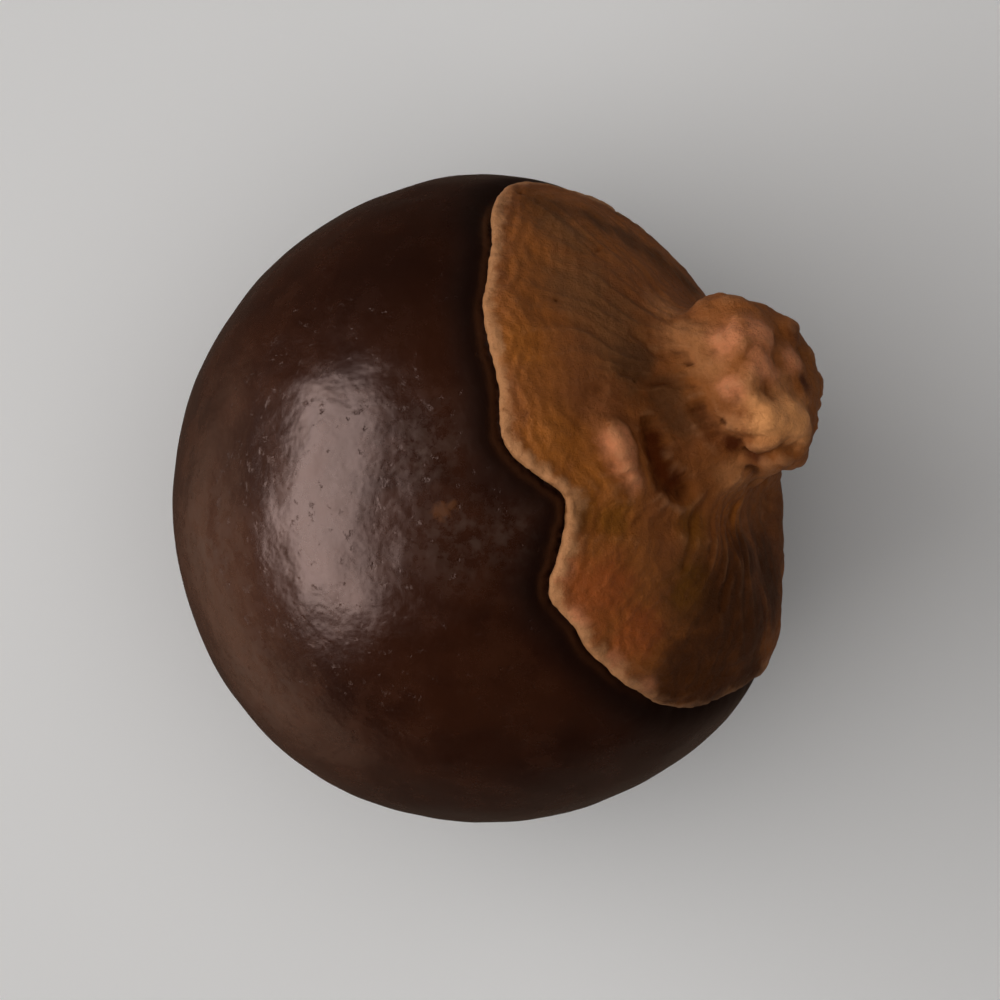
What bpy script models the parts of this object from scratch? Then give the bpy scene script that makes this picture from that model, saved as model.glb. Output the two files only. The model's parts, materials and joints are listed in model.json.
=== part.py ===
"""Guarana seed, lying on the small flat spot that it rests on.

The seed is one hard solid inside its glossy coat. The dried aril is a thin, two-lobed crust that lies
in a shallow seat over the hilum, on the upper right of the seed, and it carries the stub of the stalk.
Metres, +Z up. The origin is the middle of the flat spot, which lies under the seed's centre of mass.
"""

from math import atan2, cos, exp, pi, radians, sin, sqrt

import bmesh
import bpy
from mathutils import Vector

MM = 0.001

# Seed: its three diameters without its swellings and before the flat spot is cut, and the spot
SEED_WIDTH = 10.4 * MM
SEED_LENGTH = 11.0 * MM
SEED_HEIGHT = 10.4 * MM
FLAT_SPOT_RADIUS = 1.5 * MM

# Swellings of the round, on the lower right and at the top of the photograph: height, width, direction
LOWER_SWELLING = 0.34 * MM
LOWER_SWELLING_WIDTH = radians(42)
LOWER_SWELLING_AT = Vector((cos(radians(35)), -sin(radians(35)), 0.25)).normalized()
TOP_SWELLING = 0.17 * MM
TOP_SWELLING_WIDTH = radians(40)
TOP_SWELLING_AT = Vector((cos(radians(75)), sin(radians(75)), 0.25)).normalized()

# Hilum: where its middle points
HILUM_FROM_UP = radians(58)
HILUM_FROM_X = radians(15.5)

# Aril: its wall, its raised rim, how far its middle sinks, and the room under it
ARIL_WALL = 0.30 * MM
ARIL_GAP = 0.30 * MM
RIM_BEAD = 0.08 * MM
RIM_BEAD_AT = 0.93
RIM_BEAD_WIDTH = 0.06
MIDDLE_HOLLOW = 0.22 * MM

# Aril's outline: its rim as an angle from the hilum's middle, the longer upper lobe, the two notches
# between the lobes, and how much and how often the rim wavers
ARIL_REACH = radians(51.5)
UPPER_LOBE_EXTRA = radians(10)
UPPER_LOBE_WIDTH = radians(44)
UPPER_LOBE_AT = radians(-90)
NOTCH_DEPTH = radians(9)
NOTCH_WIDTH = radians(12)
NOTCH_AT = radians(9)
FAR_NOTCH_DEPTH = radians(6)
FAR_NOTCH_WIDTH = radians(16)
FAR_NOTCH_AT = radians(186)
LONG_WAVER = radians(0.7)
LONG_WAVER_COUNT = 7
SHORT_WAVER = radians(0.5)
SHORT_WAVER_COUNT = 11

# Little nub between the notch and the stub
NUB_HEIGHT = 0.30 * MM
NUB_RADIUS = 0.50 * MM
NUB_AT = Vector((radians(28), radians(-1)))

# Stub of the stalk: an oval, lumpy knob with a hollow tip and a spreading foot
STUB_AT = Vector((radians(-5), radians(-3)))
STUB_LEAN = Vector((radians(-2.5), 0.0))
STUB_RADIUS = 1.45 * MM
STUB_LENGTHENING = 1.2
STUB_FOOT_RADIUS = 1.7 * MM
STUB_FOOT_CURVE = 4
STUB_HEIGHT = 1.68 * MM
STUB_SQUARENESS = 0.75
TIP_HOLLOW = 0.25 * MM
TIP_HOLLOW_SHARE = 0.45
LARGE_LUMPS = 0.10
LARGE_LUMP_COUNT = 3
SMALL_LUMPS = 0.06
SMALL_LUMP_COUNT = 5

# Seat of the aril in the seed: where its floor ends and where its edge meets the round of the seed
SEAT_DEPTH = ARIL_WALL + ARIL_GAP
SEAT_FLOOR = 1.06
SEAT_EDGE = 1.11

# Meshes: points round the hilum, and rings from the hilum's middle outwards
SEED_SEGMENTS = 64
FLOOR_RINGS = 6
EDGE_RINGS = 4
BODY_RINGS = 22
ARIL_SEGMENTS = 72
STUB_RINGS = 7
LOBE_RINGS = 10
RIM_RINGS = 2
SHARP_ANGLE = radians(35)

# Finishes
COAT_COLOUR = (0.035, 0.014, 0.009)
COAT_ROUGHNESS = 0.28
ARIL_COLOUR = (0.30, 0.14, 0.06)
ARIL_ROUGHNESS = 0.80

SEMI_AXES = Vector((SEED_WIDTH, SEED_LENGTH, SEED_HEIGHT)) / 2
MEAN_RADIUS = (SEED_WIDTH + SEED_LENGTH) / 4
FLAT_SHARE = 2 * FLAT_SPOT_RADIUS / sqrt(SEED_WIDTH * SEED_LENGTH)
SEED_CENTRE = Vector((0.0, 0.0, SEMI_AXES.z * sqrt(1 - FLAT_SHARE**2)))

HILUM_X = sin(HILUM_FROM_UP) * cos(HILUM_FROM_X)
HILUM_Y = sin(HILUM_FROM_UP) * sin(HILUM_FROM_X)
HILUM = Vector((HILUM_X, HILUM_Y, cos(HILUM_FROM_UP)))
UPHILL = (Vector((0.0, 0.0, 1.0)) - HILUM * HILUM.z).normalized()
SIDEWAYS = HILUM.cross(UPHILL)


def direction_at(place):
    """The unit direction of a place, given as the angles uphill and sideways from the hilum's middle."""
    if place.length == 0:
        return HILUM.copy()
    away = (UPHILL * place.x + SIDEWAYS * place.y).normalized()
    return HILUM * cos(place.length) + away * sin(place.length)


def skin_point(place, depth):
    """The point at a depth under the seed's plain round, at a place."""
    direction = direction_at(place)
    surface = Vector(part * axis for part, axis in zip(direction, SEMI_AXES))
    outward = Vector(part / axis for part, axis in zip(direction, SEMI_AXES)).normalized()
    return SEED_CENTRE + surface + outward * (swelling(direction) - depth)


def swelling(direction):
    """How far the seed's round swells over its ellipsoid in a direction."""
    lower = LOWER_SWELLING * bell(direction.angle(LOWER_SWELLING_AT), 0, LOWER_SWELLING_WIDTH)
    top = TOP_SWELLING * bell(direction.angle(TOP_SWELLING_AT), 0, TOP_SWELLING_WIDTH)
    return lower + top


def turned(around):
    """The unit step on the map of places that points at an angle round the hilum, from uphill."""
    return Vector((cos(around), sin(around)))


def bell(value, middle, width):
    """1 where the value is the middle one, falling to 0 some widths away on either side."""
    return exp(-(((value - middle) / width) ** 2))


def angle_bell(angle, middle, width):
    """A bell on an angle, whose distance from the middle is the shorter way round."""
    return bell((angle - middle + pi) % (2 * pi) - pi, 0, width)


def aril_reach(around):
    """How far from the hilum's middle the aril's rim lies, as an angle."""
    upper_lobe = UPPER_LOBE_EXTRA * angle_bell(around, UPPER_LOBE_AT, UPPER_LOBE_WIDTH)
    notch = NOTCH_DEPTH * angle_bell(around, NOTCH_AT, NOTCH_WIDTH)
    far_notch = FAR_NOTCH_DEPTH * angle_bell(around, FAR_NOTCH_AT, FAR_NOTCH_WIDTH)
    waver = LONG_WAVER * sin(LONG_WAVER_COUNT * around) + SHORT_WAVER * cos(SHORT_WAVER_COUNT * around)
    return ARIL_REACH + upper_lobe - notch - far_notch + waver


def share_of_reach(place):
    """How far out a place lies: 0 at the hilum's middle and 1 at the aril's rim."""
    return place.length / aril_reach(atan2(place.y, place.x))


def middle_hollow(share):
    """How far the seed and the aril sink towards the hilum's middle."""
    return MIDDLE_HOLLOW * max(0.0, 1 - share**2) ** 2


def seat_depth(share):
    """How far the seed lies under its plain round: a seat with a steep, smooth edge."""
    climb = min(1.0, max(0.0, (share - SEAT_FLOOR) / (SEAT_EDGE - SEAT_FLOOR)))
    return SEAT_DEPTH * (1 - climb * climb * (3 - 2 * climb)) + middle_hollow(share)


def aril_relief(place):
    """How far the aril's outside stands over its plain face: the rim's bead and the nub."""
    bead = RIM_BEAD * bell(share_of_reach(place), RIM_BEAD_AT, RIM_BEAD_WIDTH)
    nub = NUB_HEIGHT * bell((place - NUB_AT).length * MEAN_RADIUS, 0, NUB_RADIUS)
    return bead + nub


def aril_face(place, through):
    """A point in the aril's wall, from its outside, 0, through to its inside, 1."""
    depth = middle_hollow(share_of_reach(place)) + ARIL_WALL * through
    return skin_point(place, depth - aril_relief(place) * (1 - through))


def stub_place(share, around):
    """The place under a point of the stub, from the middle of its tip, 0, to its foot, 1."""
    lumps = LARGE_LUMPS * sin(LARGE_LUMP_COUNT * around) + SMALL_LUMPS * cos(SMALL_LUMP_COUNT * around)
    spread = (STUB_FOOT_RADIUS - STUB_RADIUS) * share**STUB_FOOT_CURVE
    across = (STUB_RADIUS * sin(share * pi / 2) ** STUB_SQUARENESS + spread) * (1 + lumps * (1 - share))
    oval = Vector((cos(around), STUB_LENGTHENING * sin(around)))
    return STUB_AT + oval * across / MEAN_RADIUS


def stub_height(share):
    """How high a point of the stub stands over the aril's face."""
    tip_hollow = TIP_HOLLOW * max(0.0, 1 - (share / TIP_HOLLOW_SHARE) ** 2)
    return STUB_HEIGHT * max(0.0, cos(share * pi / 2)) ** STUB_SQUARENESS - tip_hollow


def aril_point(ring, around):
    """A point of the aril: down the stub, out over the lobe, round the rim and back underneath."""
    if ring <= STUB_RINGS:
        share = ring / STUB_RINGS
        foot = aril_face(stub_place(share, around), 0)
        return foot + direction_at(STUB_AT + STUB_LEAN) * stub_height(share)
    reach = aril_reach(around)
    rounding = ARIL_WALL / 2 / MEAN_RADIUS
    past_rim = ring - (STUB_RINGS + LOBE_RINGS + RIM_RINGS)
    if abs(past_rim) <= RIM_RINGS:
        turn = past_rim / RIM_RINGS * pi / 2
        place = turned(around) * (reach - rounding * (1 - cos(turn)))
        return aril_face(place, (1 + sin(turn)) / 2)
    if past_rim < 0:
        out = (ring - STUB_RINGS) / LOBE_RINGS
        return aril_face(stub_place(1, around).lerp(turned(around) * (reach - rounding), out), 0)
    back = (past_rim - RIM_RINGS) / (STUB_RINGS + LOBE_RINGS)
    return aril_face(turned(around) * (reach - rounding) * (1 - back), 1)


def seed_point(ring, around):
    """A point of the seed: over the seat's floor, up its edge and on round the seed."""
    reach = aril_reach(around)
    if ring <= FLOOR_RINGS:
        from_hilum = reach * SEAT_FLOOR * ring / FLOOR_RINGS
    elif ring <= FLOOR_RINGS + EDGE_RINGS:
        climb = (ring - FLOOR_RINGS) / EDGE_RINGS
        from_hilum = reach * (SEAT_FLOOR + (SEAT_EDGE - SEAT_FLOOR) * climb)
    else:
        beyond = (ring - FLOOR_RINGS - EDGE_RINGS) / BODY_RINGS
        from_hilum = reach * SEAT_EDGE * (1 - beyond) + pi * beyond
    return skin_point(turned(around) * from_hilum, seat_depth(from_hilum / reach))


def shaped_ball(segments, rings, point_at):
    """A ball with its pole on the hilum, pressed to a shape that a function of ring and angle gives."""
    bm = bmesh.new()
    bmesh.ops.create_uvsphere(bm, u_segments=segments, v_segments=rings, radius=1)
    for vert in bm.verts:
        ring = round(vert.co.angle(Vector((0.0, 0.0, 1.0))) / pi * rings)
        vert.co = point_at(ring, atan2(vert.co.y, vert.co.x))
    return bm


def cut_flat(bm):
    """Cuts off what lies under the ground plane and closes the cut with a flat face."""
    everything = bm.verts[:] + bm.edges[:] + bm.faces[:]
    down = Vector((0.0, 0.0, -1.0))
    cut = bmesh.ops.bisect_plane(
        bm, geom=everything, dist=1e-7, plane_co=Vector(), plane_no=down, clear_outer=True
    )
    rim = [item for item in cut["geom_cut"] if isinstance(item, bmesh.types.BMEdge)]
    bmesh.ops.edgeloop_fill(bm, edges=rim)


def new_material(name, colour, roughness):
    """A plain finish. Dried plant tissue isn't metallic."""
    material = bpy.data.materials.new(name)
    material.use_nodes = True
    shader = material.node_tree.nodes["Principled BSDF"]
    shader.inputs["Base Color"].default_value = (*colour, 1.0)
    shader.inputs["Roughness"].default_value = roughness
    shader.inputs["Metallic"].default_value = 0.0
    return material


def add_piece(name, bm, material, collection):
    """A named object made from the bmesh, shaded smooth except at its sharp edges."""
    bmesh.ops.recalc_face_normals(bm, faces=bm.faces)
    mesh = bpy.data.meshes.new(name)
    bm.to_mesh(mesh)
    bm.free()
    mesh.shade_smooth()
    mesh.set_sharp_from_angle(angle=SHARP_ANGLE)
    mesh.materials.append(material)
    collection.objects.link(bpy.data.objects.new(name, mesh))


def add_seed(collection):
    """The whole seed inside its coat, with the aril's seat and the flat spot."""
    bm = shaped_ball(SEED_SEGMENTS, FLOOR_RINGS + EDGE_RINGS + BODY_RINGS, seed_point)
    cut_flat(bm)
    add_piece("seed", bm, new_material("seed_coat", COAT_COLOUR, COAT_ROUGHNESS), collection)


def add_aril(collection):
    """The dried aril in one piece with the stub of the stalk, its inside as curved as its outside."""
    bm = shaped_ball(ARIL_SEGMENTS, 2 * (STUB_RINGS + LOBE_RINGS + RIM_RINGS), aril_point)
    add_piece("dried_aril", bm, new_material("dried_aril", ARIL_COLOUR, ARIL_ROUGHNESS), collection)


def main():
    """Clears the scene and adds the seed's two pieces in their collection."""
    for old in list(bpy.data.objects):
        bpy.data.objects.remove(old)
    collection = bpy.data.collections.new("guarana_seed")
    bpy.context.scene.collection.children.link(collection)
    add_seed(collection)
    add_aril(collection)


main()
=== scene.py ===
"""A guarana seed on a pale studio floor, seen straight from above.

The seed's coat and the dried aril with the stub of the stalk are modelled in millimetres, as from above in
the photograph: +X to the right and +Y to the top. Each finished piece is brought to metres at the end.
"""

import json
from contextlib import contextmanager
from math import cos, exp, pi, radians, sin

import bmesh
import bpy
from mathutils import Matrix, Vector, noise
from mathutils.bvhtree import BVHTree
from mathutils.kdtree import KDTree

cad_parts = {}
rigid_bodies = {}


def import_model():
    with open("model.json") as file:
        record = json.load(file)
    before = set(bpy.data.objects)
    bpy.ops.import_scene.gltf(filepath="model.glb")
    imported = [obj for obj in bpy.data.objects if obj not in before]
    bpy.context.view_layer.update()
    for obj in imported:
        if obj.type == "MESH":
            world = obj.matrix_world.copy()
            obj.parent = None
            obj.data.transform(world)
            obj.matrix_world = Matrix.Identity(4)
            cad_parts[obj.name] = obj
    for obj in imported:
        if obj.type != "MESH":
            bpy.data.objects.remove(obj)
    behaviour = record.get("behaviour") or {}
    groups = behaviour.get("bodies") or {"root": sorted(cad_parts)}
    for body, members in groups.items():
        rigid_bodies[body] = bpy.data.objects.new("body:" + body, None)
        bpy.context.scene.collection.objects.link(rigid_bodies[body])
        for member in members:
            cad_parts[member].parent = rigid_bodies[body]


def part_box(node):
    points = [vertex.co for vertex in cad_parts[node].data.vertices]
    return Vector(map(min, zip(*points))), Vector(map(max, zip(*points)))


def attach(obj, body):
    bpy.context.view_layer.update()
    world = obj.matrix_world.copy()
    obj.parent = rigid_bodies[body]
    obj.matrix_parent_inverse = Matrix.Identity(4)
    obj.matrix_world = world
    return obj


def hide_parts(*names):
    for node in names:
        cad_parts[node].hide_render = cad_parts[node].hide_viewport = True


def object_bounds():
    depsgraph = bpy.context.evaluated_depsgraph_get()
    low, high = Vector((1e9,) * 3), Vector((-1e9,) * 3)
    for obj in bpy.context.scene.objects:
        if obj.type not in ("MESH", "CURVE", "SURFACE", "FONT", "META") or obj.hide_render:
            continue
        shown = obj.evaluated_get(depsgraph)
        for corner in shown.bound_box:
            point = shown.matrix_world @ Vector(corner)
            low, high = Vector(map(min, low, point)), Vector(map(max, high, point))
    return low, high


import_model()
cad_box = [list(corner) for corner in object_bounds()]

MM = 0.001

# Width of the picture at the seed's middle, in metres
VIEW_WIDTH = 17.2 * MM

# The vector noise differs from run to run unless it is given a seed
NOISE_SEED = 1
noise.seed_set(NOISE_SEED)

# Seed, in millimetres: its diameters before the flat spot, and where its middle is over the spot
SEED_SIZE = Vector((10.4, 11.0, 10.4))
SEED_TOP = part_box("seed")[1].z / MM
SEED_MIDDLE = Vector((0.0, 0.0, SEED_TOP - SEED_SIZE.z / 2))
SEED_SUBDIVISIONS = 7

# Swellings of the seed's round, and dents below 0: angle round the seed from +X, height, reach
SWELLINGS = ((-29, 0.46, 6.0), (80, 0.17, 5.0), (52, -0.12, 2.6), (-4, -0.50, 2.2))

# Unevenness of the seed: height and size of its waves
SEED_UNEVEN = ((0.050, 2.4), (0.028, 1.05), (0.007, 0.4))

# Hilum: its middle points up and to the right
HILUM_TURN = (0.0, radians(58), radians(15.5))

# Aril, in millimetres: how far it reaches from the hilum's middle, its wall and the bead along its rim
ARIL_REACH = radians(51)
ARIL_WALL = 0.28
RIM_BEAD = 0.09
BEAD_REACH = 0.45
ARIL_SEGMENTS = 96
ARIL_RINGS = 60
ARIL_VOXEL = 0.05
LUMP_SMOOTHING = 12
RELIEF_SMOOTHING = 40

# Dishes pressed into the thin patch, seen from above: x, y, depth, reach
ARIL_DISHES = ((4.2, 1.4, 0.18, 3.6), (1.9, 3.3, 0.10, 1.6), (3.3, -1.6, 0.08, 1.4))

# Seat of the aril in the seed: how near the rim the mesh is made finer, the room under the aril, and the
# groove that runs round its rim
SEAT_MARGIN = 0.7
SEAT_ROOM = 0.04
GROOVE_DEPTH = 0.20
GROOVE_REACH = 0.62

# Pulls on the aril's round rim: angle round the hilum from uphill, push outwards, reach and falloff
RIM_PULLS = (
    (-84, 1.05, 3.4, "SMOOTH"),
    (-44, 0.25, 1.6, "SMOOTH"),
    (9, -0.96, 1.30, "LINEAR"),
    (25, 0.14, 0.9, "SMOOTH"),
    (98, -0.38, 2.2, "SMOOTH"),
    (140, 0.20, 1.8, "SMOOTH"),
    (186, -0.55, 1.8, "LINEAR"),
    (228, -0.15, 1.0, "SMOOTH"),
)

# Stub of the stalk: middle of its foot as angles uphill and sideways, where it points, the reach of its
# foot, how far from its axis its skin reaches, and the height of its widest outline
STUB_AT = (radians(-4.2), radians(-4.4))
STUB_AIM = (radians(-6.2), radians(-4.6))
STUB_FOOT = radians(21.5)
STUB_SKIN_REACH = 2.3
STUB_SIDE = 8.0

# Steps of the stub from foot to tip: rise, then the share of its width that it keeps across and along
STUB_STEPS = (
    (0.06, 0.93, 0.93),
    (0.12, 0.89, 0.90),
    (0.18, 0.90, 0.92),
    (0.22, 0.93, 0.95),
    (0.28, 0.99, 0.99),
    (0.26, 1.02, 1.01),
    (0.18, 0.97, 0.97),
    (0.10, 0.88, 0.88),
    (0.04, 0.72, 0.72),
    (-0.05, 0.60, 0.60),
)

# Lumps laid on the aril, seen from above: x, y, half length, half width, turn, how far it stands proud
LUMPS = (
    # nub beside the fold, with a lower flap
    (2.42, 0.92, 0.56, 0.27, -72, 0.24),
    (2.64, 0.42, 0.34, 0.22, -55, 0.13),
    (2.15, 1.25, 0.40, 0.30, -60, 0.06),
    # shoulder that runs from the upper lobe onto the stub
    (3.65, 2.80, 0.95, 0.65, -46, 0.14),
    (4.05, 3.22, 0.70, 0.50, -32, 0.26),
    # lumps on the stub's top
    (4.22, 2.78, 0.44, 0.38, 25, 0.08),
    (4.85, 2.80, 0.46, 0.40, -30, 0.08),
    (5.30, 2.92, 0.42, 0.38, -50, 0.16),
    (4.88, 2.30, 0.38, 0.34, 40, 0.05),
    (5.35, 2.35, 0.34, 0.30, -70, 0.06),
    (4.30, 1.95, 0.34, 0.30, 60, 0.05),
    # boss in its middle, and the torn lip under it
    (5.35, 1.42, 0.50, 0.46, 35, 0.13),
    (4.85, 1.28, 0.46, 0.36, -8, 0.10),
    (4.40, 0.38, 0.50, 0.34, 20, 0.08),
    (5.00, 0.34, 0.42, 0.30, -10, 0.08),
)

# Brush lines on the aril, seen from above: height added at the middle, half width, points
ARIL_LINES = (
    # fold from the notch to the stub's foot, and the ridge above it
    (-0.11, 0.36, ((1.45, -0.05), (2.20, -0.25), (3.00, -0.35), (3.90, -0.35))),
    (0.07, 0.35, ((1.40, 0.32), (1.90, 0.36), (2.30, 0.25))),
    # right end of the fold, deeper, under the stub
    (-0.16, 0.75, ((4.40, -0.25), (4.80, -0.15), (5.05, -0.08))),
    # hollow and deep pocket between the nub and the stub
    (-0.22, 0.34, ((2.96, 1.25), (3.02, 0.80), (3.20, 0.40), (3.55, 0.20))),
    (-0.08, 0.60, ((3.25, 2.00), (3.35, 1.40))),
    # crest of the nub, and the dip above it
    (0.05, 0.16, ((2.28, 1.25), (2.42, 0.85), (2.62, 0.45))),
    (-0.05, 0.28, ((2.05, 1.85), (1.80, 1.30))),
    # swellings along the rims of both lobes
    (0.08, 0.75, ((1.90, -0.90), (2.15, -1.70), (2.90, -2.50))),
    (0.05, 0.45, ((0.85, 4.60), (0.65, 3.20), (0.80, 1.90), (1.35, 0.95))),
    # torn crease that curls round under the boss and runs out into the hollow
    (-0.16, 0.28, ((3.75, 1.55), (4.05, 1.12), (4.45, 0.84), (4.95, 0.80), (5.40, 0.92))),
    (-0.08, 0.22, ((4.60, 0.80), (4.72, 0.45), (4.66, 0.15))),
    # lower right of the stub, worn off
    (-0.34, 0.60, ((5.90, 1.00), (5.75, 0.65), (5.45, 0.45))),
    # shallow creases that part the lumps from the boss
    (-0.08, 0.26, ((4.20, 1.60), (4.70, 1.85), (5.40, 1.95))),
    # shallow furrows that run down from the stub onto the lobes
    (-0.05, 0.14, ((3.60, 2.35), (3.10, 2.50), (2.60, 2.85))),
    (-0.05, 0.14, ((3.70, 1.95), (3.05, 2.05), (2.45, 2.15))),
    (-0.05, 0.14, ((3.95, 0.10), (3.65, -0.60), (3.50, -1.10))),
    (-0.05, 0.14, ((4.45, -0.05), (4.35, -0.90), (4.15, -1.80))),
)
LINE_WOBBLE = 0.10

# Wrinkles that run from the stub to the rim: girth that they are counted on, and how far they are drawn out
RADIAL_GIRTH = 3.5
RADIAL_STRETCH = 4.0

# Painted places, seen from above: x, y and reach of each stroke of the brush
ARIL_PAINT = {
    "orange": (
        (1.35, 1.00, 0.7),
        (1.90, 0.42, 0.5),
        (0.75, 2.60, 0.5),
        (4.45, -0.24, 0.4),
    ),
    "tan": (
        (3.20, 3.30, 0.45),
        (3.40, 2.85, 0.45),
        (3.70, 2.70, 0.50),
        (3.90, 2.35, 0.40),
        (4.60, 1.85, 0.45),
        (5.20, 1.85, 0.40),
        (4.40, 0.45, 0.45),
        (4.80, 0.45, 0.45),
        (5.20, 0.55, 0.40),
        (4.30, 1.25, 0.30),
    ),
    # painted highlight on the boss of the stub
    "boss_highlight": ((5.40, 1.42, 0.58), (4.95, 1.38, 0.50)),
    # pinkish tissue, with a painted highlight on the stub's lumps and the nub
    "pink_and_highlight": (
        (4.23, 2.79, 0.42),
        (4.85, 2.90, 0.42),
        (4.90, 2.32, 0.40),
        (5.40, 2.42, 0.30),
        (4.28, 1.92, 0.28),
        (2.40, 0.95, 0.40),
        (2.52, 0.70, 0.36),
        (2.66, 0.42, 0.30),
        (1.35, -1.05, 0.30),
        (1.65, -2.00, 0.30),
        (2.30, -2.75, 0.30),
        (2.90, -3.10, 0.25),
    ),
    # painted shade in the hollows beside the stub
    "hollow_shade": ((3.20, 1.80, 0.50), (3.40, 1.40, 0.45), (2.70, 2.30, 0.50)),
    # painted shadow in the pocket beside the nub and in the stub's crevices
    "pocket_shadow": (
        (2.98, 1.05, 0.22),
        (3.04, 0.80, 0.28),
        (3.14, 0.55, 0.30),
        (3.28, 0.36, 0.30),
        (5.55, 2.00, 0.22),
        (5.42, 2.88, 0.20),
        (4.30, 0.98, 0.20),
        (4.70, 0.80, 0.20),
    ),
    "shade": (
        (3.60, -1.60, 0.8),
        (2.60, 4.50, 0.5),
        (3.10, 4.15, 0.5),
        (3.60, 3.75, 0.4),
        (1.20, 5.00, 0.6),
        (2.00, 4.80, 0.5),
        (5.65, 2.55, 0.45),
        (5.80, 2.00, 0.40),
        (5.70, 1.15, 0.35),
    ),
    # painted shade on the lower lobe's side turned away from the light
    "shaded_side": (
        (4.60, -0.90, 0.7),
        (4.30, -1.60, 1.1),
        (5.00, -1.30, 1.2),
        (4.20, -2.30, 1.1),
        (4.70, -2.20, 1.2),
        (3.55, -2.80, 0.95),
        (4.00, -3.00, 1.2),
        (3.30, -3.15, 0.5),
        (4.60, -3.00, 0.8),
    ),
    "grey": ((1.80, 3.60, 0.9), (2.30, 3.00, 0.9), (2.50, 2.40, 0.7), (1.60, 4.50, 0.6)),
    "red": ((2.10, -1.50, 0.80), (2.70, -2.20, 0.6)),
    "olive": ((1.75, -0.12, 0.35), (2.30, -0.28, 0.40), (3.60, -0.45, 0.45), (3.60, -1.40, 0.5)),
}
COAT_PAINT = {
    # dust, with a painted greyish sheen of reflected light
    "dust_and_sheen": (
        (-0.90, 0.90, 0.7),
        (-0.20, -0.60, 0.8),
        (0.60, -0.50, 0.5),
        (-2.30, 0.25, 0.5),
        (-4.60, -0.80, 1.2),
        (-3.70, -3.00, 1.2),
    ),
    # painted reflection: an orange glint of the aril in the coat
    "orange_reflection": ((-0.55, -0.15, 0.22), (-0.35, -0.05, 0.12)),
    # painted shade on the coat's top and lower right
    "coat_shade": ((-1.20, 3.90, 1.8), (-0.20, 4.60, 1.4), (0.30, 3.20, 0.9), (3.40, -3.90, 1.2)),
}


def deselect_all():
    """Nothing stays selected, so an operator acts only on what is picked next."""
    bpy.ops.object.select_all(action="DESELECT")


def make_active(piece):
    """Only this piece is selected, and operators act on it."""
    deselect_all()
    piece.select_set(True)
    bpy.context.view_layer.objects.active = piece


@contextmanager
def editing(piece, kind="VERT"):
    """Edit mode on a piece, with nothing picked at the start."""
    make_active(piece)
    bpy.ops.object.mode_set(mode="EDIT")
    bpy.ops.mesh.select_mode(type=kind)
    bpy.ops.mesh.select_all(action="DESELECT")
    yield bmesh.from_edit_mesh(piece.data)
    bpy.ops.object.mode_set(mode="OBJECT")


def pick_vertices(piece, mesh, wanted):
    """Picks the vertices that the test wants, by their place and normal."""
    for vertex in mesh.verts:
        vertex.select_set(wanted(vertex.co, vertex.normal))
    mesh.select_flush(True)
    bmesh.update_edit_mesh(piece.data)


def pick_faces(piece, mesh, wanted):
    """Picks the faces that the test wants, by their middle and normal."""
    for face in mesh.faces:
        face.select_set(wanted(face.calc_center_median(), face.normal))
    bmesh.update_edit_mesh(piece.data)


def pick_nearest(piece, mesh, spot):
    """Picks the one vertex nearest to a spot."""
    nearest = min(mesh.verts, key=lambda vertex: (vertex.co - spot).length_squared)
    pick_vertices(piece, mesh, lambda co, normal: co == nearest.co)


def use_modifier(piece, kind, **settings):
    """Adds a modifier and applies it at once."""
    make_active(piece)
    modifier = piece.modifiers.new(kind.lower(), kind)
    for name, value in settings.items():
        setattr(modifier, name, value)
    bpy.ops.object.modifier_apply(modifier=modifier.name)


def raise_by(piece, heights):
    """Moves each vertex along its normal by its own height, in millimetres."""
    for sign in (1, -1):
        group = piece.vertex_groups.new(name="heights")
        for index, height in enumerate(heights):
            if height * sign > 0:
                group.add([index], height * sign, "REPLACE")
        use_modifier(piece, "DISPLACE", strength=sign, mid_level=0.0, vertex_group="heights")
        piece.vertex_groups.clear()


def hilum_frame():
    """The hilum's outward axis, the way uphill from it, and the way across."""
    up, across = HILUM_TURN[1], HILUM_TURN[2]
    axis = Vector((sin(up) * cos(across), sin(up) * sin(across), cos(up)))
    uphill = (Vector((0.0, 0.0, 1.0)) - axis * axis.z).normalized()
    return axis, uphill, axis.cross(uphill)


HILUM, UPHILL, SIDEWAYS = hilum_frame()


def direction_at(uphill, sideways):
    """The direction from the seed's middle at these angles from the hilum's middle."""
    angle = Vector((uphill, sideways)).length
    away = (UPHILL * uphill + SIDEWAYS * sideways).normalized()
    return HILUM * cos(angle) + away * sin(angle)


def round_point(direction):
    """Where a direction meets the seed's plain round."""
    return SEED_MIDDLE + Vector(part * size / 2 for part, size in zip(direction, SEED_SIZE))


def in_metres(piece):
    """Brings a finished piece from millimetres to metres, with its place in its mesh."""
    make_active(piece)
    piece.scale = (MM, MM, MM)
    bpy.ops.object.transform_apply(location=True, rotation=True, scale=True)
    bpy.ops.object.shade_smooth()


def seed_round():
    """The seed's round: a ball scaled to its three diameters, swollen and dented, a little uneven."""
    deselect_all()
    bpy.ops.mesh.primitive_ico_sphere_add(
        subdivisions=SEED_SUBDIVISIONS, radius=0.5, location=SEED_MIDDLE, scale=SEED_SIZE
    )
    seed = bpy.context.object
    seed.name = "glossy_seed"
    bpy.ops.object.transform_apply(location=True, rotation=True, scale=True)
    for angle, height, reach in SWELLINGS:
        outwards = Vector((cos(radians(angle)), sin(radians(angle)), 0.25)).normalized()
        with editing(seed) as mesh:
            pick_nearest(seed, mesh, round_point(outwards))
            bpy.ops.transform.translate(
                value=outwards * height,
                use_proportional_edit=True,
                proportional_edit_falloff="SMOOTH",
                proportional_size=reach,
            )

    def uneven(place):
        return sum(height * noise.noise(place / size) for height, size in SEED_UNEVEN)

    raise_by(seed, [uneven(vertex.co) for vertex in seed.data.vertices])
    return seed


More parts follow.
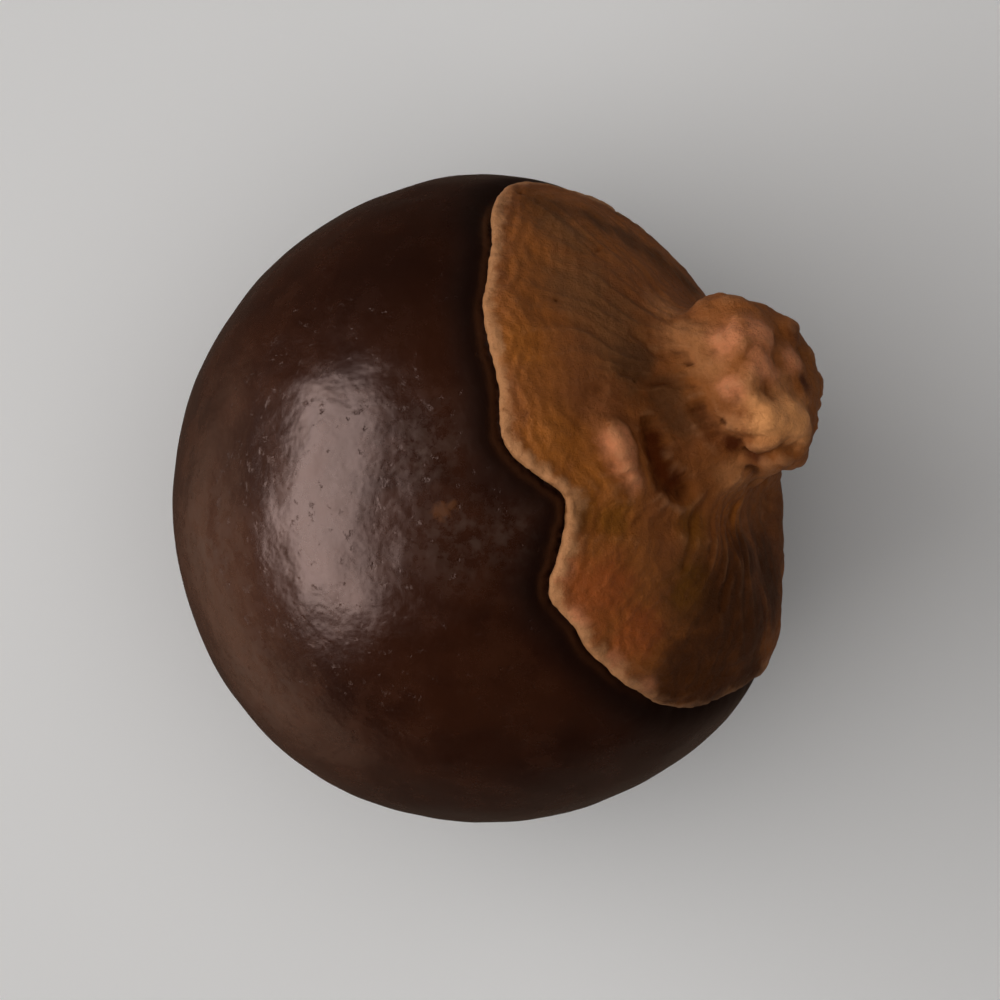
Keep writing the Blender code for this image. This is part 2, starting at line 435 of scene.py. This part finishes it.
def aril_patch(seed):
    """The aril's outside: a cap of the seed's round, its rim pulled into two lobes.

    The ball's pole is where the stub grows, so that the stub's foot is one of its rings.
    """
    deselect_all()
    bpy.ops.mesh.primitive_uv_sphere_add(
        segments=ARIL_SEGMENTS,
        ring_count=ARIL_RINGS,
        radius=1,
        rotation=direction_at(*STUB_AT).to_track_quat("Z", "Y").to_euler(),
    )
    aril = bpy.context.object
    aril.name = "aril_crust"
    bpy.ops.object.transform_apply(location=True, rotation=True, scale=True)
    with editing(aril):
        bpy.ops.mesh.select_all(action="SELECT")
        rim_plane = HILUM * cos(ARIL_REACH)
        bpy.ops.mesh.bisect(plane_co=rim_plane, plane_no=HILUM, clear_inner=True)
        bpy.ops.mesh.select_all(action="SELECT")
        bpy.ops.transform.resize(value=SEED_SIZE / 2, center_override=(0, 0, 0))
        bpy.ops.transform.translate(value=SEED_MIDDLE)
    for angle, push, reach, falloff in RIM_PULLS:
        around = radians(angle)
        uphill, sideways = ARIL_REACH * cos(around), ARIL_REACH * sin(around)
        away = UPHILL * cos(around) + SIDEWAYS * sin(around)
        outwards = away * cos(ARIL_REACH) - HILUM * sin(ARIL_REACH)
        with editing(aril) as mesh:
            pick_nearest(aril, mesh, round_point(direction_at(uphill, sideways)))
            bpy.ops.transform.translate(
                value=outwards * push,
                use_proportional_edit=True,
                proportional_edit_falloff=falloff,
                proportional_size=reach,
            )
    use_modifier(aril, "SHRINKWRAP", target=seed, wrap_method="NEAREST_SURFACEPOINT")
    return aril


def rim_tree(aril):
    """The points of the open patch's rim, ready to be searched for the nearest."""
    with editing(aril) as mesh:
        points = [vertex.co.copy() for vertex in mesh.verts if vertex.is_boundary]
    tree = KDTree(len(points))
    for index, point in enumerate(points):
        tree.insert(point, index)
    tree.balance()
    return tree


def surface_tree(piece):
    """The faces of a piece, ready to be searched and met by rays."""
    mesh = bmesh.new()
    mesh.from_mesh(piece.data)
    tree = BVHTree.FromBMesh(mesh)
    mesh.free()
    return tree


def seen_from_above(tree, x, y):
    """The point and the normal of the surface that is seen at a place from above, or None twice."""
    above = Vector((x, y, SEED_TOP * 2))
    point, normal, _, _ = tree.ray_cast(above, Vector((0.0, 0.0, -1.0)))
    return point, normal


def thicken_aril(aril):
    """Presses the dishes, raises the rim's bead and gives the patch its wall."""
    for x, y, depth, reach in ARIL_DISHES:
        point, normal = seen_from_above(surface_tree(aril), x, y)
        with editing(aril) as mesh:
            pick_nearest(aril, mesh, point)
            bpy.ops.transform.translate(
                value=normal * -depth,
                use_proportional_edit=True,
                proportional_edit_falloff="SMOOTH",
                proportional_size=reach,
            )
    with editing(aril) as mesh:
        for vertex in mesh.verts:
            vertex.select_set(vertex.is_boundary)
        mesh.select_flush(True)
        bmesh.update_edit_mesh(aril.data)
        bpy.ops.mesh.select_more()
        bpy.ops.transform.shrink_fatten(
            value=RIM_BEAD,
            use_proportional_edit=True,
            proportional_edit_falloff="SMOOTH",
            proportional_size=BEAD_REACH,
        )
    use_modifier(aril, "SOLIDIFY", thickness=ARIL_WALL, offset=-1.0, use_even_offset=True)


def grow_stub(aril):
    """Extrudes the stub of the stalk from the aril's face, step by step, and sinks its tip."""
    root = direction_at(*STUB_AT)
    aim = direction_at(*STUB_AIM)

    def on_foot(middle, normal):
        away = Vector(part / size for part, size in zip(middle - SEED_MIDDLE, SEED_SIZE))
        return away.angle(root) < STUB_FOOT and normal.dot(HILUM) > 0

    with editing(aril, "FACE") as mesh:
        pick_faces(aril, mesh, on_foot)
        middle = round_point(root)
        for rise, across, along in STUB_STEPS:
            middle += aim * rise
            bpy.ops.mesh.extrude_region_move(TRANSFORM_OT_translate={"value": aim * rise})
            bpy.ops.transform.resize(value=(across, along, across), center_override=middle)


def lay_lumps(aril):
    """Lays squashed balls along the surface as the stub's lumps and the nub."""
    tree = surface_tree(aril)
    with editing(aril):
        for x, y, length, width, turn, proud in LUMPS:
            point, normal = seen_from_above(tree, x, y)
            along = Vector((cos(radians(turn)), sin(radians(turn)), 0.0))
            along = (along - normal * along.dot(normal)).normalized()
            turned = Matrix((along, normal.cross(along), normal)).transposed()
            bpy.ops.mesh.primitive_ico_sphere_add(
                subdivisions=3,
                radius=1,
                location=point + normal * (proud - width),
                rotation=turned.to_euler(),
                scale=(length, width, width),
            )


def wobbled(x, y):
    """A place seen from above, moved a little aside, so that brushed lines aren't straight."""
    place = Vector((x, y, 0.0))
    aside = noise.noise_vector(place / 0.45) * LINE_WOBBLE
    return x + aside.x, y + aside.y


def brush_heights(piece, lines):
    """The height that each vertex gains along lines seen from above, wider here and finer there.

    The wall moves as a whole: its inside gains what its outside loses.
    """
    faces = surface_tree(piece)
    vertices = KDTree(len(piece.data.vertices))
    for vertex in piece.data.vertices:
        vertices.insert(vertex.co, vertex.index)
    vertices.balance()
    heights = [0.0] * len(piece.data.vertices)
    for height, width, corners in lines:
        shares = {}
        facings = {}
        for start, end in zip(corners, corners[1:]):
            stretch = Vector(end) - Vector(start)
            steps = max(1, round(stretch.length / (width / 4)))
            for step in range(steps + 1):
                x, y = Vector(start) + stretch * step / steps
                spot, facing = seen_from_above(faces, *wobbled(x, y))
                if spot is None:
                    continue
                reach = width * (1 + 0.5 * noise.noise(spot / 0.3))
                for place, index, _ in vertices.find_range(spot, reach + ARIL_WALL):
                    away = place - spot
                    aside = (away - facing * away.dot(facing)).length
                    if aside < reach:
                        share = (1 - (aside / reach) ** 2) ** 2
                        shares[index] = max(share, shares.get(index, 0.0))
                        facings[index] = facing
        for index, share in shares.items():
            heights[index] += height * share * piece.data.vertices[index].normal.dot(facings[index])
    return heights


def write_attribute(piece, name, numbers):
    """Stores a number at each vertex for the materials to read."""
    attribute = piece.data.attributes.new(name, "FLOAT", "POINT")
    attribute.data.foreach_set("value", numbers)


def smooth_step(value, start, end):
    """A smooth climb from 0 at one value to 1 at another."""
    share = min(1.0, max(0.0, (value - start) / (end - start)))
    return share * share * (3 - 2 * share)


def paint(piece, paints):
    """Brushes each paint on at its places, softly, as an attribute from 0 to 1. A miss leaves no paint."""
    tree = surface_tree(piece)
    for name, strokes in paints.items():
        seen = [(seen_from_above(tree, x, y)[0], reach) for x, y, reach in strokes]
        places = [(spot, reach) for spot, reach in seen if spot]
        numbers = [
            max(exp(-(((vertex.co - spot).length / reach) ** 2)) for spot, reach in places)
            for vertex in piece.data.vertices
        ]
        write_attribute(piece, name, numbers)


def write_relief(piece, softness):
    """Stores how far each vertex stands out of the smoothed surface, in millimetres."""
    smoothed = piece.copy()
    smoothed.data = piece.data.copy()
    bpy.context.scene.collection.objects.link(smoothed)
    use_modifier(smoothed, "SMOOTH", factor=0.5, iterations=softness)
    pairs = zip(piece.data.vertices, smoothed.data.vertices)
    write_attribute(piece, "relief", [(here.co - there.co).dot(here.normal) for here, there in pairs])
    bpy.data.meshes.remove(smoothed.data)


def stub_share(place):
    """1 on the stub of the stalk, falling to 0 beyond its foot."""
    away = place - round_point(direction_at(*STUB_AT))
    along = direction_at(*STUB_AIM)
    aside = (away - along * away.dot(along)).length
    return smooth_step(STUB_SKIN_REACH - aside, 0.0, 0.6) * smooth_step(away.dot(along), 0.0, 0.3)


def radial_place(place):
    """A place for noise whose features are drawn out along the lines from the stub's foot to the rim."""
    away = place - round_point(direction_at(*STUB_AT))
    across = Vector((away.dot(UPHILL), away.dot(SIDEWAYS), 0.0))
    return across.normalized() * RADIAL_GIRTH + Vector((0.0, 0.0, across.length / RADIAL_STRETCH))


def ridges(place, size):
    """Sharp little ridges of this size, from about -1 in the furrows to 1 on the crests."""
    return 1 - abs(noise.noise(place / size)) * 4


def lower_side(place):
    """1 on the seed's lower half, falling to 0 just under its middle."""
    return smooth_step(SEED_MIDDLE.z - place.z, 0.1, 1.3)


def wrinkles(place, from_rim):
    """Fine wrinkles of the lobes: lines from the stub to the rim, and wavy ones beside the rim."""
    drift = noise.noise_vector(place / 1.1) * 0.3
    radial = ridges(radial_place(place + drift), 0.30) * smooth_step(from_rim, 0.25, 0.9)
    waver = noise.noise(place / 0.9) * 0.5
    ringed = sin((from_rim + waver) * 20) * (1 - smooth_step(from_rim, 0.5, 1.1))
    wrinkled = radial * 0.016 * (1 + noise.noise(place / 0.8)) + ringed * 0.010
    deeper = 1 + 1.6 * lower_side(place)
    return (1 - stub_share(place)) * (wrinkled * deeper + 0.04 * noise.noise(place / 0.7))


def billows(place, size):
    """Soft lumps of this size, from about -0.3 in the creases between them to 0.4 on top."""
    return (noise.noise(place / size) ** 2 + 0.004) ** 0.5 * 1.6 - 0.3


def crumples(place):
    """Skin of the stub: crumpled lumps in three sizes, and waves that make each side of it differ.

    Its underside is rougher and lies a little deeper.
    """
    drift = noise.noise_vector(place / 0.6) * 0.20
    lumps = billows(place + drift, 0.75) * 0.12 + billows(place - drift, 0.36) * 0.040
    small = billows(place + drift, 0.15) * 0.016 + noise.noise(place / 1.3) * 0.06
    underside = smooth_step(STUB_SIDE - place.z, 0.3, 1.2)
    return stub_share(place) * ((lumps + small) * (1 + underside) - 0.09 * underside)


def pits(place):
    """A few small pits, from 0 beside them to 1 at their bottoms."""
    drift = noise.noise_vector(place / 0.25) * 0.10
    nearest, others = noise.voronoi((place + drift) / 0.9)
    size = 0.03 + 0.22 * abs(noise.noise(others[0] * 3.1))
    return 1 - smooth_step(nearest[0], size * 0.4, size)


def make_aril(seed):
    """The dried aril with its lobes, nub and stub, as one closed crust."""
    aril = aril_patch(seed)
    rim = rim_tree(aril)
    thicken_aril(aril)
    grow_stub(aril)
    use_modifier(aril, "SUBSURF", levels=1, render_levels=1)
    lay_lumps(aril)
    use_modifier(aril, "REMESH", mode="VOXEL", voxel_size=ARIL_VOXEL)
    use_modifier(aril, "SMOOTH", factor=0.5, iterations=LUMP_SMOOTHING)
    raise_by(aril, brush_heights(aril, ARIL_LINES))

    def texture(place):
        fine = 0.010 * noise.noise(place / 0.28) + 0.006 * noise.noise(place / 0.13)
        uneven = 0.15 * noise.noise(place / 1.1) + 0.10 * ridges(place, 0.9) * noise.noise(place / 0.7)
        fine += uneven * lower_side(place)
        return wrinkles(place, rim.find(place)[2]) + crumples(place) + fine - 0.05 * pits(place)

    raise_by(aril, [texture(vertex.co) for vertex in aril.data.vertices])
    write_relief(aril, RELIEF_SMOOTHING)
    write_attribute(aril, "from_rim", [rim.find(vertex.co)[2] for vertex in aril.data.vertices])
    write_attribute(aril, "on_stub", [stub_share(vertex.co) for vertex in aril.data.vertices])
    write_attribute(aril, "pits", [pits(vertex.co) for vertex in aril.data.vertices])
    paint(aril, ARIL_PAINT)
    return aril, rim


def finish_seed(seed, aril, rim):
    """Presses the aril's seat into the seed, with the groove round it, and flattens the spot below."""
    with editing(seed, "FACE") as mesh:
        pick_faces(seed, mesh, lambda middle, normal: rim.find(middle)[2] < SEAT_MARGIN)
        bpy.ops.mesh.subdivide(number_cuts=1)
    tree = surface_tree(aril)

    def seat_depth(place):
        away = place - SEED_MIDDLE
        under, _, _, distance = tree.ray_cast(SEED_MIDDLE, away.normalized())
        if under:
            return max(0.0, away.length - distance + SEAT_ROOM)
        _, _, _, aside = tree.find_nearest(place, GROOVE_REACH)
        return 0.0 if aside is None else GROOVE_DEPTH * (1 - aside / GROOVE_REACH) ** 3

    raise_by(seed, [-seat_depth(vertex.co) for vertex in seed.data.vertices])
    with editing(seed) as mesh:
        pick_vertices(seed, mesh, lambda co, normal: co.z < 0.0)
        bpy.ops.transform.resize(value=(1, 1, 0), center_override=(0, 0, 0))
    write_attribute(seed, "from_rim", [rim.find(vertex.co)[2] for vertex in seed.data.vertices])
    paint(seed, COAT_PAINT)


class Wire:
    """A node's output in a material. Maths on it adds Math nodes, and add() adds any other node."""

    def __init__(self, tree, socket=None):
        self.tree = tree
        self.socket = socket

    def add(self, kind, settings=None, sockets=None, output=0):
        """Adds a node: its type, its settings, and the values or wires of its sockets."""
        node = self.tree.nodes.new("ShaderNode" + kind)
        for name, value in (settings or {}).items():
            setattr(node, name, value)
        for name, value in (sockets or {}).items():
            if isinstance(value, Wire):
                self.tree.links.new(value.socket, node.inputs[name])
            else:
                node.inputs[name].default_value = value
        return Wire(self.tree, node.outputs[output])

    def maths(self, operation, first, second=0.0):
        """One Math node."""
        return self.add("Math", {"operation": operation}, {0: first, 1: second})

    def __add__(self, other):
        return self.maths("ADD", self, other)

    def __radd__(self, other):
        return self.maths("ADD", other, self)

    def __sub__(self, other):
        return self.maths("SUBTRACT", self, other)

    def __rsub__(self, other):
        return self.maths("SUBTRACT", other, self)

    def __mul__(self, other):
        return self.maths("MULTIPLY", self, other)

    def __rmul__(self, other):
        return self.maths("MULTIPLY", other, self)

    def step(self, start, end):
        """A smooth climb from 0 at one value to 1 at another."""
        span = {"Value": self, "From Min": start, "From Max": end}
        return self.add("MapRange", {"interpolation_type": "SMOOTHSTEP"}, span)

    def attribute(self, name):
        """A number that is stored on the mesh."""
        return self.add("Attribute", {"attribute_name": name}, output="Fac")

    def painted(self, name, ragged, most):
        """A painted attribute with a ragged edge, up to a share."""
        return (self.attribute(name) + ragged * 1.2).step(0.14, 0.96) * most

    def mixed(self, first, second):
        """A colour between two, by this wire from 0 to 1."""
        kind = {"data_type": "RGBA", "clamp_factor": True}
        return self.add("Mix", kind, {0: self, 6: as_colour(first), 7: as_colour(second)}, output=2)

    def noise(self, size, detail=4.0, roughness=0.55, distortion=0.0):
        """Cloudy noise with features of this size, from about 0.25 to 0.75, on coordinates."""
        sockets = {
            "Vector": self,
            "Scale": 1 / size,
            "Detail": detail,
            "Roughness": roughness,
            "Distortion": distortion,
        }
        return self.add("TexNoise", None, sockets)


def as_colour(colour):
    """A colour with its alpha, or a wire as it is."""
    return colour if isinstance(colour, Wire) else (*colour, 1.0)


def new_material(name):
    """A material, a wire to build on, the surface's coordinates in millimetres, and its shader."""
    material = bpy.data.materials.new(name)
    material.use_nodes = True
    tree = material.node_tree
    start = Wire(tree)
    metres = start.add("TexCoord", output="Object")
    millimetres = start.add("VectorMath", {"operation": "SCALE"}, {"Vector": metres, "Scale": 1 / MM})
    return material, start, millimetres, tree.nodes["Principled BSDF"]


def connect(material, shader, name, wire):
    """Feeds a wire to one of the shader's sockets."""
    material.node_tree.links.new(wire.socket, shader.inputs[name])


def coat_material():
    """The hard coat: near black to red brown, glossy, with ripples and pores that break up the shine. Dust
    with a painted sheen, a painted orange reflection of the aril, and painted shade on its top, lower right
    and by the aril's rim.
    """
    material, start, place, shader = new_material("seed_coat")
    from_rim = start.attribute("from_rim")
    broad = place.noise(2.6, detail=3).step(0.35, 0.68)
    mottle = place.noise(0.7, detail=5, roughness=0.6).step(0.42, 0.72)
    fine = place.noise(0.10, detail=6, roughness=0.7)
    colour = broad.mixed((0.022, 0.0050, 0.0018), (0.044, 0.0115, 0.0040))
    colour = (mottle * 0.5).mixed(colour, (0.058, 0.0170, 0.0065))
    # painted shade: the coat's top and lower right made darker
    colour = (start.attribute("coat_shade") * 0.65).mixed(colour, (0.012, 0.0028, 0.0012))
    # dust with a painted sheen: greyer, rougher patches
    dust_and_sheen = start.attribute("dust_and_sheen") * place.noise(0.30, detail=7, roughness=0.7).step(0.42, 0.62)
    colour = (dust_and_sheen * 0.4).mixed(colour, (0.085, 0.050, 0.034))
    # painted reflection of the aril: a small orange spot on the coat
    orange_reflection = (start.attribute("orange_reflection") + (fine - 0.5) * 1.6).step(0.4, 0.9)
    colour = (orange_reflection * 0.7).mixed(colour, (0.12, 0.038, 0.009))
    # painted shade: the coat darkens towards the aril's rim, in and beside the groove
    edge = 1 - from_rim.step(0.1, 0.9)
    colour = (edge * 0.85).mixed(colour, (0.007, 0.0022, 0.0011))
    connect(material, shader, "Base Color", colour)
    pores = place.noise(0.22, detail=5, roughness=0.65).step(0.60, 0.72)
    connect(material, shader, "Roughness", 0.22 + mottle * 0.04 + fine * 0.06 + dust_and_sheen * 0.14 + edge * 0.2)
    ripples = place.noise(0.80, detail=3, roughness=0.5) + fine * 0.05 - pores * 0.14
    bump = start.add("Bump", None, {"Height": ripples, "Strength": 0.8, "Distance": 0.05 * MM})
    connect(material, shader, "Normal", bump)
    shader.inputs["IOR"].default_value = 1.85
    shader.inputs["Specular Tint"].default_value = (1.0, 0.72, 0.65, 1.0)
    return material


def aril_material():
    """Dried aril: pale tan rim, orange brown lobes, blotched below, pinkish lumps. Painted shade in its
    hollows, pockets and creases and on the sides turned away from the light; painted highlights on its
    ridges, lumps, nub and the stub's boss.
    """
    material, start, place, shader = new_material("dried_aril")
    from_rim = start.attribute("from_rim")
    on_stub = start.attribute("on_stub")
    relief = start.attribute("relief")
    patches = place.noise(1.3, detail=4).step(0.36, 0.66)
    ragged = place.noise(0.35, detail=7, roughness=0.65) - 0.5
    specks = place.noise(0.11, detail=6, roughness=0.7).step(0.46, 0.74)
    rim = 1 - (from_rim + ragged * 0.5).step(0.14, 0.32)
    band = (from_rim + ragged * 0.8).step(0.3, 0.5) * (1 - (from_rim + ragged * 1.2).step(0.8, 1.4))
    lines = start.maths("SINE", from_rim * 24 + place.noise(0.9, detail=3) * 16) * 0.5 + 0.5
    colour = patches.mixed((0.390, 0.118, 0.024), (0.300, 0.090, 0.024))
    colour = (band * 0.7).mixed(colour, (0.445, 0.131, 0.021))
    low = 1 - start.add("SeparateXYZ", None, {"Vector": place}, output="Z").step(4.2, 5.6)
    blotches = place.noise(0.9, detail=6, roughness=0.62, distortion=0.6)
    colour = (low * blotches.step(0.46, 0.62) * 0.75).mixed(colour, (0.120, 0.036, 0.009))
    colour = (low * (1 - blotches.step(0.36, 0.46)) * 0.5).mixed(colour, (0.540, 0.210, 0.075))
    colour = start.painted("shade", ragged, 0.8).mixed(colour, (0.150, 0.050, 0.011))
    colour = start.painted("grey", ragged, 0.6).mixed(colour, (0.230, 0.100, 0.035))
    colour = start.painted("olive", ragged, 0.6).mixed(colour, (0.300, 0.105, 0.006))
    colour = start.painted("red", ragged, 0.6).mixed(colour, (0.470, 0.092, 0.019))
    colour = start.painted("orange", ragged, 0.8).mixed(colour, (0.500, 0.150, 0.020))
    colour = (on_stub * 0.6).mixed(colour, (0.400, 0.125, 0.030))
    colour = start.painted("tan", ragged, 0.8).mixed(colour, (0.560, 0.215, 0.072))
    # painted shade in the hollows
    colour = start.painted("hollow_shade", ragged, 0.8).mixed(colour, (0.130, 0.050, 0.018))
    # pinkish tissue with a painted highlight on the lumps and the nub
    colour = start.painted("pink_and_highlight", ragged, 0.85).mixed(colour, (0.800, 0.285, 0.122))
    colour = (lines * 0.18 * (1 - on_stub)).mixed(colour, (0.120, 0.036, 0.008))
    colour = (rim * 0.85).mixed(colour, (0.600, 0.270, 0.110))
    # painted shade on the lower lobe's right and bottom, away from the light
    colour = start.painted("shaded_side", ragged * 0.6, 0.85).mixed(colour, (0.060, 0.016, 0.004))
    # painted shade in the creases of the relief
    crease = 1 - (relief + ragged * 0.02).step(-0.055, -0.005)
    colour = (crease * 0.75).mixed(colour, (0.095, 0.022, 0.004))
    # painted shadow in the pocket and crevices
    colour = start.painted("pocket_shadow", ragged, 0.9).mixed(colour, (0.085, 0.012, 0.001))
    # painted highlight on the crests of the relief
    ridge = (relief + ragged * 0.02).step(0.006, 0.045)
    colour = (ridge * 0.35).mixed(colour, (0.620, 0.280, 0.120))
    colour = (start.attribute("pits") * 0.75).mixed(colour, (0.060, 0.016, 0.004))
    colour = (specks * 0.25).mixed(colour, (0.110, 0.034, 0.010))
    # painted highlight: the stub's boss made bright orange
    colour = start.painted("boss_highlight", ragged, 0.9).mixed(colour, (1.000, 0.420, 0.145))
    connect(material, shader, "Base Color", colour)
    connect(material, shader, "Roughness", 0.46 + specks * 0.2 + crease * 0.2)
    height = place.noise(0.12, detail=8, roughness=0.7) + lines * 0.12 * (1 - on_stub)
    bump = start.add("Bump", None, {"Height": height, "Strength": 1.0, "Distance": 0.06 * MM})
    connect(material, shader, "Normal", bump)
    shader.inputs["Specular IOR Level"].default_value = 0.4
    shader.inputs["Specular Tint"].default_value = (1.0, 0.75, 0.55, 1.0)
    return material


def floor_material():
    """A plain pale surface."""
    material, _, place, shader = new_material("studio_floor")
    faint = place.noise(40.0, detail=2)
    connect(material, shader, "Base Color", faint.mixed((0.90, 0.885, 0.87), (0.93, 0.915, 0.90)))
    shader.inputs["Roughness"].default_value = 0.7
    return material


def add_floor():
    """The floor that the seed lies on."""
    deselect_all()
    bpy.ops.mesh.primitive_plane_add(size=3.0)
    floor = bpy.context.object
    floor.name = "studio_floor"
    floor.data.materials.append(floor_material())
    floor.visible_glossy = False


def add_softbox(name, from_up, around, distance, size_x, size_y, radiance):
    """A large soft light that faces the seed."""
    direction = Vector((sin(from_up) * cos(around), sin(from_up) * sin(around), cos(from_up)))
    light = bpy.data.lights.new(name, "AREA")
    light.shape = "RECTANGLE"
    light.size = size_x
    light.size_y = size_y
    light.energy = radiance * pi * size_x * size_y
    softbox = bpy.data.objects.new(name, light)
    softbox.location = direction * distance
    softbox.rotation_euler = direction.to_track_quat("Z", "Y").to_euler()
    bpy.context.scene.collection.objects.link(softbox)
    return softbox


def add_lights():
    """A softbox on the left that shows in the coat, a soft fill from above that doesn't, and a dim room.

    The coat mirrors the room, whose lower left is lighter, in place of the floor.
    """
    softbox = add_softbox("left_softbox", radians(58), radians(180), 0.30, 0.40, 0.22, 1.0)
    softbox.data.use_nodes = True
    panel = Wire(softbox.data.node_tree)
    across = {"Vector": panel.add("NewGeometry", output="Parametric")}
    height = panel.add("SeparateXYZ", None, across, output="Y")
    panel_glow = 3.5 - height * 1.7
    emission = softbox.data.node_tree.nodes["Emission"]
    softbox.data.node_tree.links.new(panel_glow.socket, emission.inputs["Strength"])
    fill = add_softbox("overhead_fill", 0.0, 0.0, 0.50, 0.55, 0.55, 1.1)
    fill.visible_glossy = False
    world = bpy.data.worlds.new("studio")
    world.use_nodes = True
    start = Wire(world.node_tree)
    view = {"Vector": start.add("TexCoord", output="Generated")}
    rightwards = start.add("SeparateXYZ", None, view, output="X")
    backwards = start.add("SeparateXYZ", None, view, output="Y")
    upwards = start.add("SeparateXYZ", None, view, output="Z")
    below = (1 - upwards.step(-0.5, 0.0)) * (1 - backwards.step(0.1, 0.7) * 0.7)
    front_left = (0.0 - rightwards * 0.95 - backwards * 0.32).step(0.48, 0.84)
    room = below.mixed((0.012, 0.010, 0.009), (0.070, 0.050, 0.038))
    room = (below * front_left).mixed(room, (0.42, 0.29, 0.21))
    background = world.node_tree.nodes["Background"]
    world.node_tree.links.new(room.socket, background.inputs["Color"])
    bpy.context.scene.world = world


def add_camera():
    """A long lens straight above the seed, with +Y at the top of the picture."""
    low, high = (Vector(corner) for corner in cad_box)
    middle = (low + high) / 2
    camera = bpy.data.cameras.new("camera")
    camera.lens = 300
    camera.sensor_width = 36
    camera.clip_start = 5 * MM
    distance = VIEW_WIDTH * camera.lens / camera.sensor_width
    lookout = bpy.data.objects.new("camera", camera)
    lookout.location = (middle.x, middle.y, middle.z + distance)
    bpy.context.scene.collection.objects.link(lookout)
    bpy.context.scene.camera = lookout


def hand_over(piece, node, material):
    """A finished piece rides on the object's one body and stands for its CAD node."""
    piece.data.materials.clear()
    piece.data.materials.append(material)
    in_metres(piece)
    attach(piece, "root")
    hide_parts(node)


seed = seed_round()
aril, rim = make_aril(seed)
finish_seed(seed, aril, rim)
hand_over(seed, "seed", coat_material())
hand_over(aril, "dried_aril", aril_material())
add_floor()
add_lights()
add_camera()
bpy.context.scene.view_settings.view_transform = "Standard"
